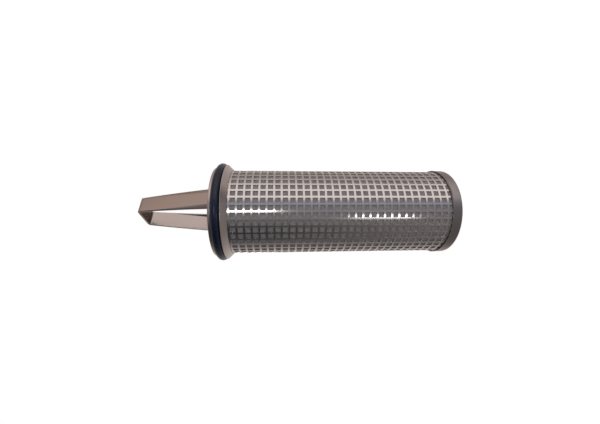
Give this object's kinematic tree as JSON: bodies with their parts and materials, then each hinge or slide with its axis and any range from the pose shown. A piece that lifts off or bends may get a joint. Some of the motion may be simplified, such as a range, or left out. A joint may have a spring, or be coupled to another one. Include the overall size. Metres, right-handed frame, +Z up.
{
  "type": "hydraulic filter element",
  "caption": "Cylindrical return filter element: pleated pack in a tube with square holes, coned flange with a rubber seal ring, open top with a strip bail, closed bottom cap.",
  "frame": {"origin": "centre of the bottom cap's underside, on the element's axis", "axes": "+Z up the element's axis, from the bottom cap to the bail; +X and -X towards the bail's two legs"},
  "size_m": [0.103, 0.103, 0.321],
  "materials": {
    "tube_steel": "bright rolled",
    "wire_cloth": "matte weave",
    "medium": "matte",
    "sheet_steel": "satin",
    "adhesive": "satin",
    "cap_steel": "satin",
    "flange_metal": "turned",
    "seal_rubber": "gloss",
    "bail_steel": "satin"
  },
  "bodies": {
    "root": {"outer_tube": "tube_steel", "mesh_sleeve": "wire_cloth", "filter_medium": "medium", "inner_mesh": "wire_cloth", "seam_clip": "sheet_steel", "core_tube": "sheet_steel", "bottom_bond": "adhesive", "top_bond": "adhesive", "bottom_cap": "cap_steel", "flange_ring": "flange_metal", "seal_ring": "seal_rubber", "top_plate": "cap_steel", "bail": "bail_steel"}
  },
  "joints": []
}
